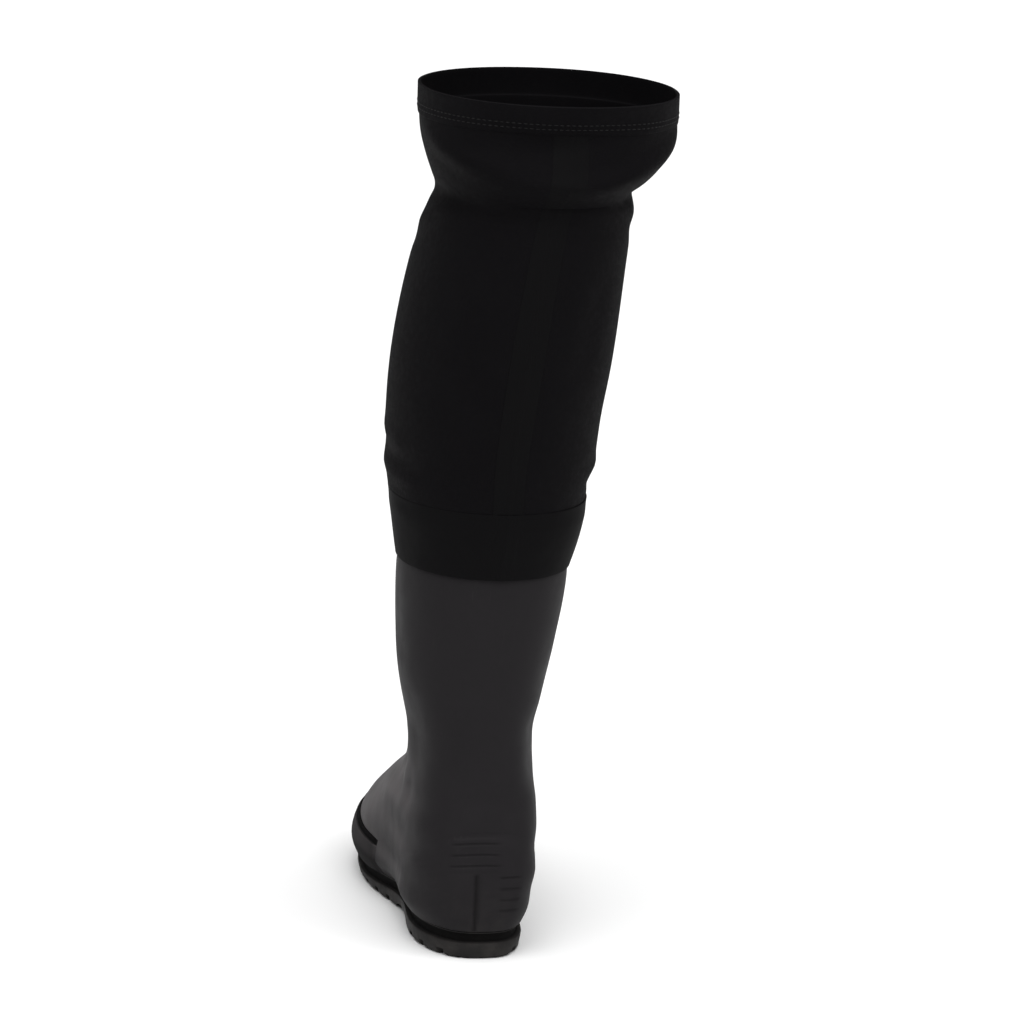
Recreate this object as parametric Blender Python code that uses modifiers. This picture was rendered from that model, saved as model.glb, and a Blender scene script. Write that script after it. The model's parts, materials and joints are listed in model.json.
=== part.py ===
"""Left leg of a pair of bootfoot waders: a moulded rubber boot with a fabric leg bonded over its shaft.

Run it with blender --background --python part.py, or from Blender's text editor.
Metres, +Z up. The toes point to +Y and the wearer's inner side is +X. The boot stands on Z = 0.
"""

import math
from typing import NamedTuple

import bmesh
import bpy
import numpy as np

# Driving dimensions of the boot, over its outside
LAST_LENGTH = 0.302
BALL_WIDTH = 0.105
SHAFT_HEIGHT = 0.296
UPPER_WALL = 0.0024

# Driving dimensions of the sole
TOE_SPRING = 0.011
TREAD_DEPTH = 0.005
INSOLE_THICK = 0.003
INSOLE_INSET = 0.0036

# Driving dimensions of the leg and of the band that seals it to the boot
LEG_BOTTOM = 0.286
LEG_TOP = 0.610
LEG_WALL = 0.0022
HEM_HEIGHT = 0.020
HEM_STEP = 0.0008
HEM_SLOPE = 0.0015
BAND_BOTTOM = 0.276
BAND_TOP = 0.325
BAND_THICK = 0.0010
BAND_LEDGE = 0.0006

# Clearance between pieces that touch on the real boot
GAP = 0.0003
PANEL_GAP = 0.0005

# The heel's back on the floor, measured from the part's origin
HEEL_X = -0.0270
HEEL_Y = -0.1459

# Points round each loop, crowded a little towards the back, where the seam runs
AROUND = 36
BACK_CROWDING = 0.22

# Where the waist and the ball lie along a foot section, and how far each reaches, as shares of its length
WAIST_AT = 0.36
WAIST_REACH = 0.18
BALL_AT = 0.66
BALL_REACH = 0.22


class Section(NamedTuple):
    """One slice of the boot or leg: a loop, tilted from its back point up or down to its front point."""

    back: float
    back_z: float
    front: float
    front_z: float
    half_width: float
    widest: float
    back_power: float
    front_power: float
    sag: float = 0.0
    waist_lateral: float = 0.0
    waist_medial: float = 0.0
    axis_back: float = 0.0
    axis_ball: float = 0.0
    axis_front: float = 0.0


class FootRow(NamedTuple):
    """A boot section as shares: back, front and widest of LAST_LENGTH, width and axis of BALL_WIDTH, and
    heights and sag of SHAFT_HEIGHT. Powers above 2 square the loop's ends, and waists pinch its sides."""

    back: float
    back_z: float
    front: float
    front_z: float
    width: float
    widest: float
    back_power: float
    front_power: float
    sag: float = 0.0
    waist_lateral: float = 0.0
    waist_medial: float = 0.0
    axis_ball: float = 0.0
    axis_front: float = 0.0
    axis_all: float = 0.0


FOOT_ROWS = {
    "feather line": FootRow(
        0.015, 0.067, 0.988, 0.082, 0.990, 0.66, 2.80, 2.32, 0.024, 0.325, 0.24, -0.030, 0.076, 0.008
    ),
    "foot wall": FootRow(
        0.004, 0.108, 1.000, 0.115, 1.045, 0.66, 3.15, 2.35, 0.020, 0.235, 0.19, -0.049, 0.076, 0.006
    ),
    "toe shoulder": FootRow(
        0.000, 0.155, 0.991, 0.163, 1.005, 0.63, 3.35, 2.30, 0.013, 0.18, 0.13, -0.038, 0.076, 0.010
    ),
    "toe top": FootRow(
        0.003, 0.202, 0.955, 0.204, 0.970, 0.56, 3.65, 2.20, 0.007, 0.11, 0.07, -0.033, 0.067, 0.018
    ),
    "vamp": FootRow(
        0.010, 0.247, 0.884, 0.247, 0.922, 0.46, 3.4, 2.10, 0.0, 0.05, 0.03,
        axis_ball=-0.024, axis_front=0.045, axis_all=0.020,
    ),
    "ball top": FootRow(
        0.019, 0.291, 0.788, 0.294, 0.908, 0.36, 3.1, 2.05,
        axis_ball=-0.014, axis_front=0.024, axis_all=0.018,
    ),
    "low instep": FootRow(
        0.028, 0.335, 0.690, 0.341, 0.866, 0.305, 2.8, 2.0,
        axis_front=0.010, axis_all=0.016,
    ),
    "instep": FootRow(0.036, 0.378, 0.604, 0.386, 0.838, 0.27, 2.6, 2.0, axis_all=0.012),
    "throat": FootRow(0.041, 0.426, 0.538, 0.430, 0.830, 0.258, 2.4, 2.0, axis_all=0.006),
    "ankle": FootRow(0.042, 0.476, 0.497, 0.470, 0.828, 0.254, 2.3, 2.05, axis_all=-0.003),
    "above ankle": FootRow(0.041, 0.534, 0.477, 0.532, 0.855, 0.251, 2.2, 2.1, axis_all=-0.016),
    "low shaft": FootRow(0.036, 0.610, 0.470, 0.610, 0.940, 0.248, 2.15, 2.1, axis_all=-0.026),
    "mid shaft": FootRow(0.027, 0.699, 0.473, 0.699, 1.030, 0.248, 2.1, 2.1, axis_all=-0.020),
    "high shaft": FootRow(0.019, 0.801, 0.480, 0.801, 1.098, 0.248, 2.1, 2.1, axis_all=-0.004),
    "collar": FootRow(0.012, 0.908, 0.485, 0.908, 1.138, 0.248, 2.1, 2.1, axis_all=0.010),
    "shaft top": FootRow(0.022, 1.000, 0.475, 1.000, 1.105, 0.248, 2.1, 2.1, axis_all=0.017),
}
ANKLE_LEVEL = 10
SHAFT_LEVEL = len(FOOT_ROWS) - 1


class LegRow(NamedTuple):
    """A level slice of the fabric leg: height, width, and back, front and middle from the heel's back."""

    z: float
    width: float
    back: float
    front: float
    middle: float


LEG_ROWS = (
    LegRow(0.286, 0.1238, 0.0024, 0.1476, 0.0020),
    LegRow(0.298, 0.1288, -0.0002, 0.1500, 0.0026),
    LegRow(0.312, 0.1338, -0.0028, 0.1530, 0.0028),
    LegRow(0.330, 0.1400, -0.0055, 0.1562, 0.0024),
    LegRow(0.355, 0.1455, -0.0078, 0.1598, 0.0022),
    LegRow(0.382, 0.1497, -0.0092, 0.1630, 0.0042),
    LegRow(0.412, 0.1532, -0.0098, 0.1652, 0.0072),
    LegRow(0.447, 0.1528, -0.0090, 0.1660, 0.0114),
    LegRow(0.484, 0.1488, -0.0065, 0.1662, 0.0168),
    LegRow(0.511, 0.1458, -0.0035, 0.1666, 0.0212),
    LegRow(0.527, 0.1418, -0.0005, 0.1674, 0.0246),
    LegRow(0.539, 0.1400, 0.0015, 0.1686, 0.0280),
    LegRow(0.549, 0.1505, -0.0035, 0.1702, 0.0312),
    LegRow(0.561, 0.1640, -0.0070, 0.1718, 0.0332),
    LegRow(0.575, 0.1748, -0.0085, 0.1740, 0.0340),
    LegRow(0.590, 0.1783, -0.0090, 0.1755, 0.0336),
    LegRow(0.610, 0.1798, -0.0090, 0.1765, 0.0340),
)
LEG_POWER = 2.1
KNEE_LOW = 0.511
KNEE_HIGH = 0.590

# The knee's crease lies higher on the inner side than on the outer, by this much either way
KNEE_TILT = 0.0038
KNEE_MIDDLE = 0.540
KNEE_REACH = 0.036


class Fold(NamedTuple):
    """A soft ridge (rise above 0) or trough round part of the leg. turn is 0 at the back, 90 at the outer
    side, 180 at the front and 270 at the inner side. climb lifts its line at one spread from its middle."""

    z: float
    turn: float
    spread: float
    rise: float
    half_height: float
    climb: float


FOLDS = {
    "knee crease": Fold(0.539, 0, 85, -0.0035, 0.0075, 0.000),
    "knee lip": Fold(0.553, 0, 62, 0.0070, 0.0105, 0.020),
    "knee hollow": Fold(0.580, 0, 40, -0.0080, 0.0170, 0.008),
    "inner ripple": Fold(0.357, 285, 38, 0.0016, 0.0100, 0.004),
    "inner dip": Fold(0.338, 290, 40, -0.0016, 0.0080, 0.004),
    "outer ripple": Fold(0.342, 75, 36, 0.0018, 0.0080, -0.004),
    "outer dip": Fold(0.358, 70, 34, -0.0014, 0.0080, -0.004),
    "shin fold": Fold(0.370, 180, 48, 0.0036, 0.0130, -0.010),
    "kneecap": Fold(0.498, 180, 55, 0.0055, 0.0330, -0.012),
}


class SoleStep(NamedTuple):
    """One edge line round the sole: how far it lies outside the feather line, and its height, either over
    the tread's ground line or under the upper."""

    spread: float
    over_floor: float
    under_upper: float


SOLE_STEPS = {
    "tread edge": SoleStep(-0.0024, 0.0000, None),
    "rim foot": SoleStep(0.0000, 0.0022, None),
    "rim face": SoleStep(0.0012, None, 0.0098),
    "rim shoulder": SoleStep(0.0008, None, 0.0083),
    "groove floor": SoleStep(-0.0026, None, 0.0075),
    "groove roof": SoleStep(-0.0026, None, 0.0018),
    "seat edge": SoleStep(-0.0003, None, 0.0010),
    "seat": SoleStep(-0.0003, None, GAP),
}

# Tread: channels in a V across the sole, one down the middle of the forefoot, and the hollow of the arch
HEEL_CHANNELS = (0.021, 0.041, 0.061)
FOREFOOT_CHANNELS = tuple(0.146 + 0.0205 * row for row in range(7))
CHANNEL_WIDTH = 0.0058
CUTTER_BELOW = 0.004
CHANNEL_HALF_SPAN = 0.080
CHANNEL_SLANT = 0.014
CENTRE_CHANNEL = (0.136, 0.288)
SPRING_START = 0.205
ARCH_PROFILE = ((0.080, -0.004), (0.088, 0.0048), (0.100, 0.0062), (0.116, 0.0056), (0.140, -0.004))

# Toe guard: a moulded rand round the toe, with a bead along its top edge
GUARD_REAR = 0.40
GUARD_THICK = 0.0016
GUARD_FACE_LEVELS = (0.12, 0.5, 1.0, 1.5, 1.76)
BEAD_LEVELS = (1.8, 2.0)
BEAD_RISE = 0.0009

# Heel counter: a moulded panel with level ribs across the heel's back
COUNTER_LOW_LEVEL = 0.12
COUNTER_TOP_LEVEL = 5.45
COUNTER_SIDE_LEVEL = 2.3
COUNTER_REACH = math.radians(66)
COUNTER_THICK = 0.0011
COUNTER_FACE_SHARES = (0.0, 0.13, 0.26, 0.39)
RIB_COUNT = 4
RIB_RISE = 0.0011
RIB_REACH = math.radians(42)
RIB_ZONE = (0.51, 0.95)
RIB_PROFILE = ((0.0, 0.0), (0.25, RIB_RISE), (0.55, RIB_RISE), (0.8, 0.0))

# Back seam: a tape down the middle of the leg's back
TAPE_THICK = 0.0006
TAPE_GAP = 0.0004
TAPE_MARGIN = 0.002

# Short steps for finding a surface's normal: in turn, in boot levels and in leg height
TURN_NUDGE = 0.001
LEVEL_NUDGE = 0.02
HEIGHT_NUDGE = 0.001

# Corners sharper than this are not shaded smooth
SHARP_ANGLE = math.radians(35)


def clear_scene():
    for item in list(bpy.data.objects):
        bpy.data.objects.remove(item, do_unlink=True)


def smooth(keys, values, key):
    """The value at key on a smooth curve through values, a row for each of the rising keys."""
    keys = np.asarray(keys, float)
    values = np.asarray(values, float)
    slopes = np.gradient(values, keys, axis=0)
    left = int(np.clip(np.searchsorted(keys, key) - 1, 0, len(keys) - 2))
    span = keys[left + 1] - keys[left]
    t = (key - keys[left]) / span
    near = (1 + 2 * t) * (1 - t) ** 2 * values[left] + t * (1 - t) ** 2 * span * slopes[left]
    far = t * t * (3 - 2 * t) * values[left + 1] + t * t * (t - 1) * span * slopes[left + 1]
    return near + far


def turns_round():
    """The turn of each point round a loop, from 0 at the back by the outer side to the front."""
    even = 2 * math.pi * np.arange(AROUND) / AROUND
    return even - BACK_CROWDING * np.sin(even)


TURNS = turns_round()


def boot_section(level):
    """The boot's section at a level, which counts the rows of FOOT_ROWS and may fall between two."""
    row = FootRow(*smooth(range(len(FOOT_ROWS)), list(FOOT_ROWS.values()), level))
    return Section(
        back=row.back * LAST_LENGTH,
        back_z=row.back_z * SHAFT_HEIGHT,
        front=row.front * LAST_LENGTH,
        front_z=row.front_z * SHAFT_HEIGHT,
        half_width=row.width * BALL_WIDTH / 2,
        widest=row.widest * LAST_LENGTH,
        back_power=row.back_power,
        front_power=row.front_power,
        sag=row.sag * SHAFT_HEIGHT,
        waist_lateral=row.waist_lateral,
        waist_medial=row.waist_medial,
        axis_back=row.axis_all * BALL_WIDTH,
        axis_ball=(row.axis_ball + row.axis_all) * BALL_WIDTH,
        axis_front=(row.axis_front + row.axis_all) * BALL_WIDTH,
    )


def leg_section(z):
    """The leg's outside section at a height, before its folds."""
    row = LegRow(*smooth([r.z for r in LEG_ROWS], LEG_ROWS, z))
    middle = (row.back + row.front) / 2
    return Section(
        back=row.back,
        back_z=z,
        front=row.front,
        front_z=z,
        half_width=row.width / 2,
        widest=middle,
        back_power=LEG_POWER,
        front_power=LEG_POWER,
        axis_back=row.middle,
        axis_ball=row.middle,
        axis_front=row.middle,
    )


def bell(distance):
    return math.exp(-distance * distance)


def axis_x(section, along):
    """The x of a section's centreline, a parabola through its heel, ball and toe."""
    at_heel = (1 - along) * (1 - along / BALL_AT)
    at_ball = along * (1 - along) / (BALL_AT * (1 - BALL_AT))
    at_toe = along * (along - BALL_AT) / (1 - BALL_AT)
    return section.axis_back * at_heel + section.axis_ball * at_ball + section.axis_front * at_toe


def loop_point(section, turn):
    """The point of a section's loop at a turn."""
    along = (1 - math.cos(turn)) / 2
    y = section.back + along * (section.front - section.back)
    ahead = y > section.widest
    room = section.front - section.widest if ahead else section.widest - section.back
    power = section.front_power if ahead else section.back_power
    reach = min(1.0, abs(y - section.widest) / room)
    half = section.half_width * (1 - reach**power) ** (1 / power)
    lateral = math.sin(turn) > 0
    pinch = section.waist_lateral if lateral else section.waist_medial
    half *= 1 - pinch * bell((along - WAIST_AT) / WAIST_REACH)
    z = section.back_z + along * (section.front_z - section.back_z)
    z -= section.sag * bell((along - BALL_AT) / BALL_REACH)
    return np.array([axis_x(section, along) + (-half if lateral else half), y, z])


def boot_point(turn, level):
    return loop_point(boot_section(level), turn)


def fold_rise(turn, z):
    """How far the folds push the leg outwards at a turn and height."""
    total = 0.0
    for fold in FOLDS.values():
        away = (math.degrees(turn) - fold.turn + 180) % 360 - 180
        share = away / fold.spread
        line = fold.z + fold.climb * share * share
        total += fold.rise * bell(share) * bell((z - line) / fold.half_height)
    return total


def leg_point(turn, z):
    untilted = z + KNEE_TILT * math.sin(turn) * bell((z - KNEE_MIDDLE) / KNEE_REACH)
    section = leg_section(untilted)._replace(back_z=z, front_z=z)
    point = loop_point(section, turn)
    middle = np.array([section.axis_ball, section.widest, z])
    outward = point - middle
    rise = fold_rise(turn, untilted)
    if z > LEG_TOP - HEM_HEIGHT:
        rise += HEM_STEP
    return point + outward / np.linalg.norm(outward) * rise


def surface_normal(surface, turn, height, step):
    """The outward unit normal of boot_point or leg_point, from two short steps on the surface."""
    across = surface(turn + TURN_NUDGE, height) - surface(turn - TURN_NUDGE, height)
    upward = surface(turn, height + step) - surface(turn, height - step)
    normal = np.cross(upward, across)
    return normal / np.linalg.norm(normal)


def offset_loop(points, distance):
    """A loop moved outwards in plan by a distance."""
    points = np.asarray(points)
    tangent = np.roll(points, -1, axis=0) - np.roll(points, 1, axis=0)
    outward = np.stack([-tangent[:, 1], tangent[:, 0], np.zeros(len(points))], axis=1)
    return points + distance * outward / np.linalg.norm(outward, axis=1, keepdims=True)


def shaft_level(z):
    """The level of the boot's shaft at a height, between its last two rows."""
    low, high = [row.back_z * SHAFT_HEIGHT for row in list(FOOT_ROWS.values())[-2:]]
    return SHAFT_LEVEL - (high - z) / (high - low)


def boot_loop(level):
    section = boot_section(level)
    return np.array([loop_point(section, turn) for turn in TURNS])


def leg_loop(z):
    return np.array([leg_point(turn, z) for turn in TURNS])


def add_material(item, name, colour, roughness):
    material = bpy.data.materials.get(name)
    if material is None:
        material = bpy.data.materials.new(name)
        material.use_nodes = True
        shader = material.node_tree.nodes["Principled BSDF"]
        shader.inputs["Base Color"].default_value = (*colour, 1.0)
        shader.inputs["Roughness"].default_value = roughness
        shader.inputs["Metallic"].default_value = 0.0
    item.data.materials.append(material)


def add_object(name, mesh_builder, collection, parent):
    """A named object from a bmesh, shaded smooth with its corners kept."""
    mesh = bpy.data.meshes.new(name)
    mesh_builder.to_mesh(mesh)
    mesh_builder.free()
    mesh.shade_smooth()
    mesh.set_sharp_from_angle(angle=SHARP_ANGLE)
    item = bpy.data.objects.new(name, mesh)
    collection.objects.link(item)
    item.parent = parent
    return item


def join_loops(builder, lower, upper):
    """Faces between two loops of vertices, pointing outwards when upper lies above lower."""
    count = len(lower)
    for i in range(count):
        j = (i + 1) % count
        builder.faces.new((lower[i], upper[i], upper[j], lower[j]))


def close_loop(builder, loop):
    """Fills a loop with strips from its outer side to its inner side."""
    half = len(loop) // 2
    builder.faces.new((loop[0], loop[1], loop[-1]))
    for i in range(1, half - 1):
        builder.faces.new((loop[i], loop[i + 1], loop[-i - 1], loop[-i]))
    builder.faces.new((loop[half - 1], loop[half], loop[half + 1]))


def loft(loops, closing=None):
    """A bmesh through loops. closing is None for an open tube, "caps" for a solid or "ring" for a sleeve."""
    builder = bmesh.new()
    rings = [[builder.verts.new(point) for point in loop] for loop in loops]
    for lower, upper in zip(rings, rings[1:]):
        join_loops(builder, lower, upper)
    if closing == "ring":
        join_loops(builder, rings[-1], rings[0])
    if closing == "caps":
        close_loop(builder, rings[0])
        close_loop(builder, rings[-1])
    if closing:
        bmesh.ops.recalc_face_normals(builder, faces=builder.faces)
    return builder


def slab(inner, outer):
    """A bmesh of a curved panel between two grids of points of the same rows and columns."""
    builder = bmesh.new()
    sheets = [[[builder.verts.new(point) for point in row] for row in grid] for grid in (inner, outer)]
    rows, columns = len(inner), len(inner[0])
    for sheet in sheets:
        for i in range(rows - 1):
            for j in range(columns - 1):
                corners = (sheet[i][j], sheet[i][j + 1], sheet[i + 1][j + 1], sheet[i + 1][j])
                builder.faces.new(corners)
    edge = [(0, j) for j in range(columns)]
    edge += [(i, columns - 1) for i in range(1, rows)]
    edge += [(rows - 1, j) for j in reversed(range(columns - 1))]
    edge += [(i, 0) for i in reversed(range(1, rows - 1))]
    for (i, j), (k, m) in zip(edge, edge[1:] + edge[:1]):
        builder.faces.new((sheets[0][i][j], sheets[0][k][m], sheets[1][k][m], sheets[1][i][j]))
    bmesh.ops.recalc_face_normals(builder, faces=builder.faces)
    return builder


def prism(outline, extrusion):
    """A bmesh of a flat outline of points, drawn out along a vector."""
    builder = bmesh.new()
    face = builder.faces.new([builder.verts.new(point) for point in outline])
    drawn = bmesh.ops.extrude_face_region(builder, geom=[face])
    moved = [item for item in drawn["geom"] if isinstance(item, bmesh.types.BMVert)]
    bmesh.ops.translate(builder, verts=moved, vec=extrusion)
    bmesh.ops.recalc_face_normals(builder, faces=builder.faces)
    return builder


def add_wall(item, thickness):
    """Gives an open surface its wall, inside the modelled face."""
    wall = item.modifiers.new("wall", "SOLIDIFY")
    wall.thickness = thickness
    wall.offset = -1.0
    wall.use_even_offset = True


def floor_rise(y):
    """Height of the tread's ground line: flat under heel and ball, rising to the toe."""
    share = max(0.0, (y - SPRING_START) / (LAST_LENGTH - SPRING_START))
    return TOE_SPRING * share * share


def make_upper(collection, parent):
    levels = [step / 2 for step in range(2 * ANKLE_LEVEL)]
    levels += list(range(ANKLE_LEVEL, SHAFT_LEVEL + 1))
    item = add_object("boot_upper", loft([boot_loop(level) for level in levels]), collection, parent)
    add_wall(item, UPPER_WALL)
    add_material(item, "boot_rubber", (0.028, 0.027, 0.029), 0.42)


def sole_loop(step):
    """One edge line of the sole, from its spread and its height over the floor or under the upper."""
    feather = boot_loop(0)
    loop = offset_loop(feather, step.spread)
    for point, edge in zip(loop, feather):
        if step.under_upper is None:
            point[2] = floor_rise(point[1]) + step.over_floor
        else:
            point[2] = edge[2] - step.under_upper
    return loop


def add_cutter(name, builder, cutters, parent):
    cutter = add_object(name, builder, cutters, parent)
    cutter.hide_render = True
    cutter.display_type = "WIRE"


def add_channel(name, outline, lift, cutters, parent):
    """A groove cutter for the tread: a plan outline standing from below the floor to the tread's depth."""
    base = [(x, y, lift - CUTTER_BELOW) for x, y in outline]
    add_cutter(name, prism(base, (0, 0, CUTTER_BELOW + TREAD_DEPTH)), cutters, parent)


def channel_outline(y):
    """The plan of one V across the sole, its point towards the toe."""
    span, slant, half = CHANNEL_HALF_SPAN, CHANNEL_SLANT, CHANNEL_WIDTH / 2
    front = [(-span, y + half - slant), (0, y + half), (span, y + half - slant)]
    back = [(span, y - half - slant), (0, y - half), (-span, y - half - slant)]
    return front + back


def make_cutters(cutters, parent):
    for number, y in enumerate(HEEL_CHANNELS + FOREFOOT_CHANNELS):
        add_channel(f"cut_channel_{number}", channel_outline(y), floor_rise(y), cutters, parent)
    half = CHANNEL_WIDTH / 2
    rear, fore = CENTRE_CHANNEL
    middle = [(-half, rear), (half, rear), (half, SPRING_START), (-half, SPRING_START)]
    add_channel("cut_centre_flat", middle, 0.0, cutters, parent)
    toe = [(-half, SPRING_START - half), (half, SPRING_START - half), (half, fore), (-half, fore)]
    add_channel("cut_centre_toe", toe, floor_rise((SPRING_START + fore) / 2), cutters, parent)
    span = CHANNEL_HALF_SPAN
    outline = [(-span, y, z) for y, z in ARCH_PROFILE]
    add_cutter("cut_arch", prism(outline, (2 * span, 0, 0)), cutters, parent)


def make_outsole(collection, cutters, parent):
    loops = [sole_loop(step) for step in SOLE_STEPS.values()]
    item = add_object("outsole", loft(loops, closing="caps"), collection, parent)
    tread = item.modifiers.new("tread", "BOOLEAN")
    tread.operation = "DIFFERENCE"
    tread.operand_type = "COLLECTION"
    tread.collection = cutters
    add_material(item, "sole_rubber", (0.024, 0.023, 0.023), 0.60)


def make_insole(collection, parent):
    bottom = offset_loop(boot_loop(0), -INSOLE_INSET)
    top = bottom + np.array([0, 0, INSOLE_THICK])
    item = add_object("insole", loft([bottom, top], closing="caps"), collection, parent)
    add_material(item, "insole_felt", (0.060, 0.058, 0.055), 0.95)


def panel(surface, places, nudge, gap):
    """A slab a gap over a surface. places is a grid of (turn, height, thickness); nudge is a height step."""

    def lifted(turn, height, lift):
        return surface(turn, height) + lift * surface_normal(surface, turn, height, nudge)

    inner_grid = [[lifted(turn, height, gap) for turn, height, thick in row] for row in places]
    outer_grid = [[lifted(turn, height, gap + thick) for turn, height, thick in row] for row in places]
    return slab(inner_grid, outer_grid)


def turns_within(middle, reach):
    """The loops' own turns within a reach either side of a middle turn, in rising order."""
    away = (TURNS - middle + math.pi) % (2 * math.pi) - math.pi
    return sorted(middle + turn for turn in away if abs(turn) <= reach)


def make_toe_guard(collection, parent):
    rear = math.acos(1 - 2 * GUARD_REAR)
    turns = turns_within(math.pi, math.pi - rear)
    profile = [(level, GUARD_THICK) for level in GUARD_FACE_LEVELS]
    profile += [(level, GUARD_THICK + BEAD_RISE) for level in BEAD_LEVELS]
    places = [[(turn, level, thick) for turn in turns] for level, thick in profile]
    item = add_object("toe_guard", panel(boot_point, places, LEVEL_NUDGE, PANEL_GAP), collection, parent)
    add_material(item, "boot_rubber", (0.028, 0.027, 0.029), 0.42)


def counter_height(turn):
    """Height of the heel counter in boot levels: full at the back, falling to its sides."""
    side = COUNTER_SIDE_LEVEL - COUNTER_LOW_LEVEL
    middle = COUNTER_TOP_LEVEL - COUNTER_LOW_LEVEL
    return side + (middle - side) * math.cos(turn / COUNTER_REACH * math.pi / 2)


def make_heel_counter(collection, parent):
    low, high = RIB_ZONE
    pitch = (high - low) / RIB_COUNT
    profile = [(share, 0.0) for share in COUNTER_FACE_SHARES]
    for rib in range(RIB_COUNT):
        profile += [(low + (rib + share) * pitch, rise) for share, rise in RIB_PROFILE]
    profile.append((1.0, 0.0))

    def place(turn, share, rise):
        level = COUNTER_LOW_LEVEL + share * counter_height(turn)
        return turn, level, COUNTER_THICK + (rise if abs(turn) < RIB_REACH else 0.0)

    turns = turns_within(0.0, COUNTER_REACH)
    places = [[place(turn, share, rise) for turn in turns] for share, rise in profile]
    item = add_object("heel_counter", panel(boot_point, places, LEVEL_NUDGE, PANEL_GAP), collection, parent)
    add_material(item, "boot_rubber", (0.028, 0.027, 0.029), 0.42)


def leg_heights():
    """The leg's ring heights: each row, a ring between the rows at the knee, and the hem's two edges."""
    heights = [row.z for row in LEG_ROWS]
    knee = [z for z in heights if KNEE_LOW <= z <= KNEE_HIGH]
    heights += [(low + high) / 2 for low, high in zip(knee, knee[1:])]
    heights.append(LEG_TOP - HEM_HEIGHT + HEM_SLOPE)
    return sorted(heights)


def make_leg(collection, parent):
    item = add_object("leg", loft([leg_loop(z) for z in leg_heights()]), collection, parent)
    add_wall(item, LEG_WALL)
    add_material(item, "leg_fabric", (0.0065, 0.0065, 0.0070), 0.80)


def make_joint_band(collection, parent):
    """The sealing band: its foot lies on the boot's shaft and the rest on the leg's lower end."""
    ledge = np.array([0, 0, BAND_LEDGE])
    on_boot = [boot_loop(shaft_level(z)) for z in (BAND_BOTTOM, LEG_BOTTOM - 2 * BAND_LEDGE)]
    on_leg = [leg_loop(z) for z in leg_heights() if z < BAND_TOP]
    on_leg.append(leg_loop(BAND_TOP))
    bed = on_boot + [on_leg[0] - ledge] + on_leg[1:]
    inner = [offset_loop(loop, PANEL_GAP) for loop in bed]
    outer = [offset_loop(loop, PANEL_GAP + BAND_THICK) for loop in on_boot[:1] + on_leg]
    item = add_object("joint_band", loft(outer + inner[::-1], closing="ring"), collection, parent)
    add_material(item, "band_fabric", (0.0060, 0.0060, 0.0062), 0.70)


def make_seam_tape(collection, parent):
    low, high = BAND_TOP + TAPE_MARGIN, LEG_TOP - HEM_HEIGHT - TAPE_MARGIN
    heights = [z for z in leg_heights() if low < z < high]
    turns = (TURNS[1], TURNS[0], TURNS[-1] - 2 * math.pi)
    places = [[(turn, z, TAPE_THICK) for turn in turns] for z in heights]
    item = add_object("back_seam_tape", panel(leg_point, places, HEIGHT_NUDGE, TAPE_GAP), collection, parent)
    add_material(item, "band_fabric", (0.0060, 0.0060, 0.0062), 0.70)


def main():
    clear_scene()
    parts = bpy.data.collections.new("bootfoot_wader")
    cutters = bpy.data.collections.new("cutters")
    cutters.hide_render = True
    for collection in (parts, cutters):
        bpy.context.scene.collection.children.link(collection)
    heel = bpy.data.objects.new("heel_back", None)
    heel.location = (HEEL_X, HEEL_Y, 0)
    parts.objects.link(heel)
    make_upper(parts, heel)
    make_cutters(cutters, heel)
    make_outsole(parts, cutters, heel)
    make_insole(parts, heel)
    make_toe_guard(parts, heel)
    make_heel_counter(parts, heel)
    make_leg(parts, heel)
    make_joint_band(parts, heel)
    make_seam_tape(parts, heel)


main()
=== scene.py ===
"""Looks of one bootfoot wader leg: a satin rubber boot with a cleated sole under a matte black fabric leg.

Metres, +Z up. The toes point to +Y and the wearer's inner side is +X. The boot stands on Z = 0.
"""

import json
import math
from typing import NamedTuple

import bmesh
import bpy
import numpy as np
from mathutils import Matrix, Vector
from mathutils.bvhtree import BVHTree
from mathutils.kdtree import KDTree

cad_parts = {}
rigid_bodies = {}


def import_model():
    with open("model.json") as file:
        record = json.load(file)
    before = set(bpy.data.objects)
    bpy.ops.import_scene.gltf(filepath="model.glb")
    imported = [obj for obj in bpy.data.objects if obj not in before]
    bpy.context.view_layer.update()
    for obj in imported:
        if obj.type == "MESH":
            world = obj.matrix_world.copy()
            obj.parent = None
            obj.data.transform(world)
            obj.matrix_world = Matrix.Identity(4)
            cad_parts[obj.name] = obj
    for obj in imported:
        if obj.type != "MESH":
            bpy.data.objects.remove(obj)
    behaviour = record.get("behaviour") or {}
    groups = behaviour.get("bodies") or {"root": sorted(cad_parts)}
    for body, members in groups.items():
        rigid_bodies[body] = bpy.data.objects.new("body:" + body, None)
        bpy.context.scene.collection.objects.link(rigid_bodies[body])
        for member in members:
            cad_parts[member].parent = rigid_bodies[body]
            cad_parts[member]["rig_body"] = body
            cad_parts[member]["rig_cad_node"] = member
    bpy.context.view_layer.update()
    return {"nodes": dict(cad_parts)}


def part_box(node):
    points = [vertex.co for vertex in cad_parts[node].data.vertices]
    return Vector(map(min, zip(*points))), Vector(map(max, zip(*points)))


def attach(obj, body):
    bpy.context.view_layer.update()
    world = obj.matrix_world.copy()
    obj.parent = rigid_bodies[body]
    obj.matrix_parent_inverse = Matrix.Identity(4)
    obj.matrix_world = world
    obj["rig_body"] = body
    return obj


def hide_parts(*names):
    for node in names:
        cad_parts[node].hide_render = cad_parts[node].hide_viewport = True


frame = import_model()

# The heel's back on the floor, from which the boot's own sizes are measured
HEEL_X = -0.0270
HEEL_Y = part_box("boot_upper")[0].y
FOOT_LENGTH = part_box("boot_upper")[1].y - HEEL_Y

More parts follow.
